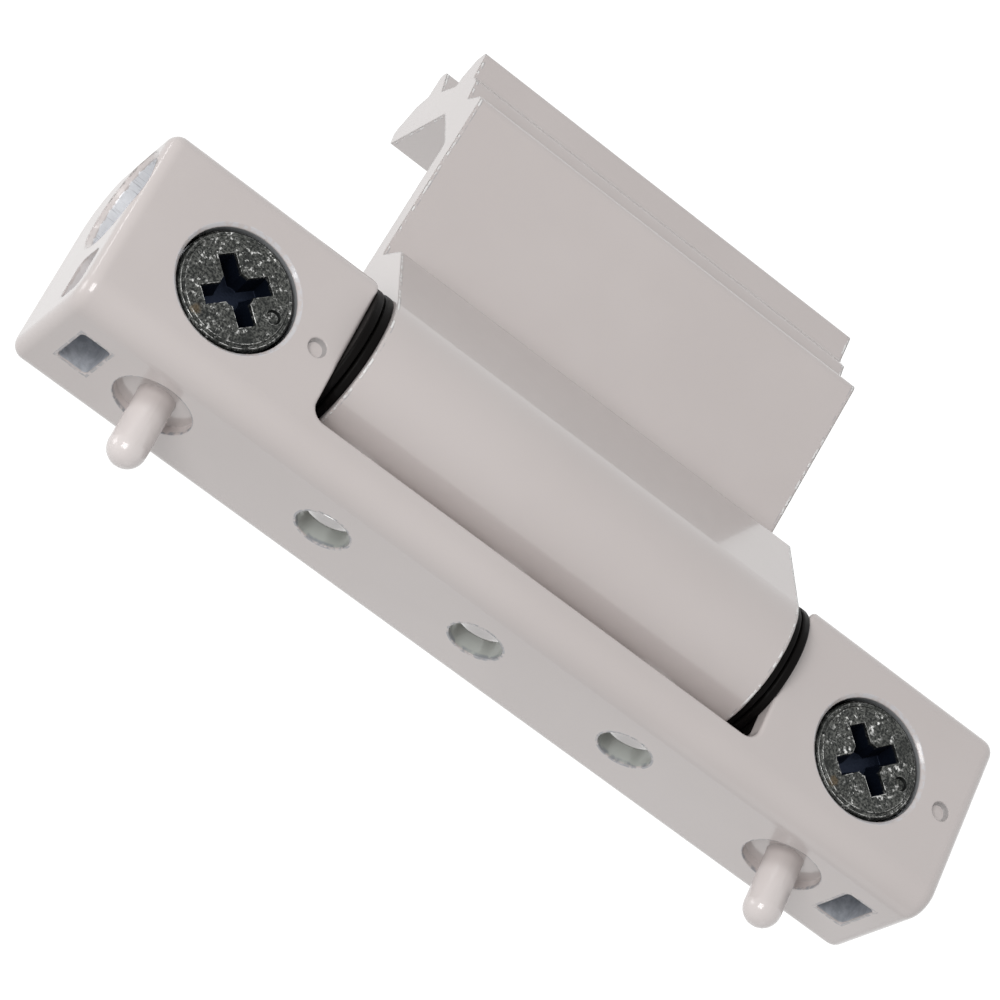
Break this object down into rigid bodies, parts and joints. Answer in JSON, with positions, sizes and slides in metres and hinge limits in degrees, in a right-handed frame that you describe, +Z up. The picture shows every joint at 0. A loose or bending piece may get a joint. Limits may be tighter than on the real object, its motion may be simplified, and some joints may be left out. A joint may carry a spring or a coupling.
{
  "type": "upvc door hinge",
  "caption": "Adjustable door hinge: cast frame body with locating nibs, eccentric pin adjusters in its lugs and an extruded leaf with a barbed hook for the sash.",
  "frame": {"origin": "centre of the middle fixing hole, on the plane of the mounting face", "axes": "+Z up along the hinge pin, +X from the mounting face towards the leaf, -Y out of the front with the adjusters"},
  "size_m": [0.0708, 0.0355, 0.1],
  "materials": {
    "white_coat": "gloss powder coat",
    "steel": "ground",
    "zinc": "dull zinc plate",
    "black_plastic": "satin"
  },
  "bodies": {
    "frame": {"frame_body": "white_coat"},
    "pin_assembly": {"hinge_pin": "steel", "upper_pin_carriage": "black_plastic", "lower_pin_carriage": "black_plastic"},
    "leaf": {"hinge_leaf": "white_coat", "upper_barrel_bush": "black_plastic", "lower_barrel_bush": "black_plastic"},
    "upper_adjuster": {"upper_adjuster": "zinc"},
    "lower_adjuster": {"lower_adjuster": "zinc"}
  },
  "joints": [
    {"name": "pin_shift", "type": "slide", "parent": "frame", "child": "pin_assembly", "axis": [1, 0, 0], "range_m": [-0.0009, 0.0009]},
    {"name": "leaf_hinge", "type": "hinge", "parent": "pin_assembly", "child": "leaf", "pos_m": [0.0142, -0.0024, 0], "axis": [0, 0, -1], "range_deg": [-12.5, 120]},
    {"name": "upper_adjuster_turn", "type": "hinge", "parent": "frame", "child": "upper_adjuster", "pos_m": [0.0103, 0, 0.03776], "axis": [0, -1, 0], "range_deg": [-60, 60]},
    {"name": "lower_adjuster_turn", "type": "hinge", "parent": "frame", "child": "lower_adjuster", "pos_m": [0.0103, 0, -0.03776], "axis": [0, -1, 0], "range_deg": [-60, 60]}
  ],
  "couplings": [
    {"joint": "upper_adjuster_turn", "follows": "pin_shift", "rad_per_m": 1149.4},
    {"joint": "lower_adjuster_turn", "follows": "pin_shift", "rad_per_m": 1149.4}
  ]
}
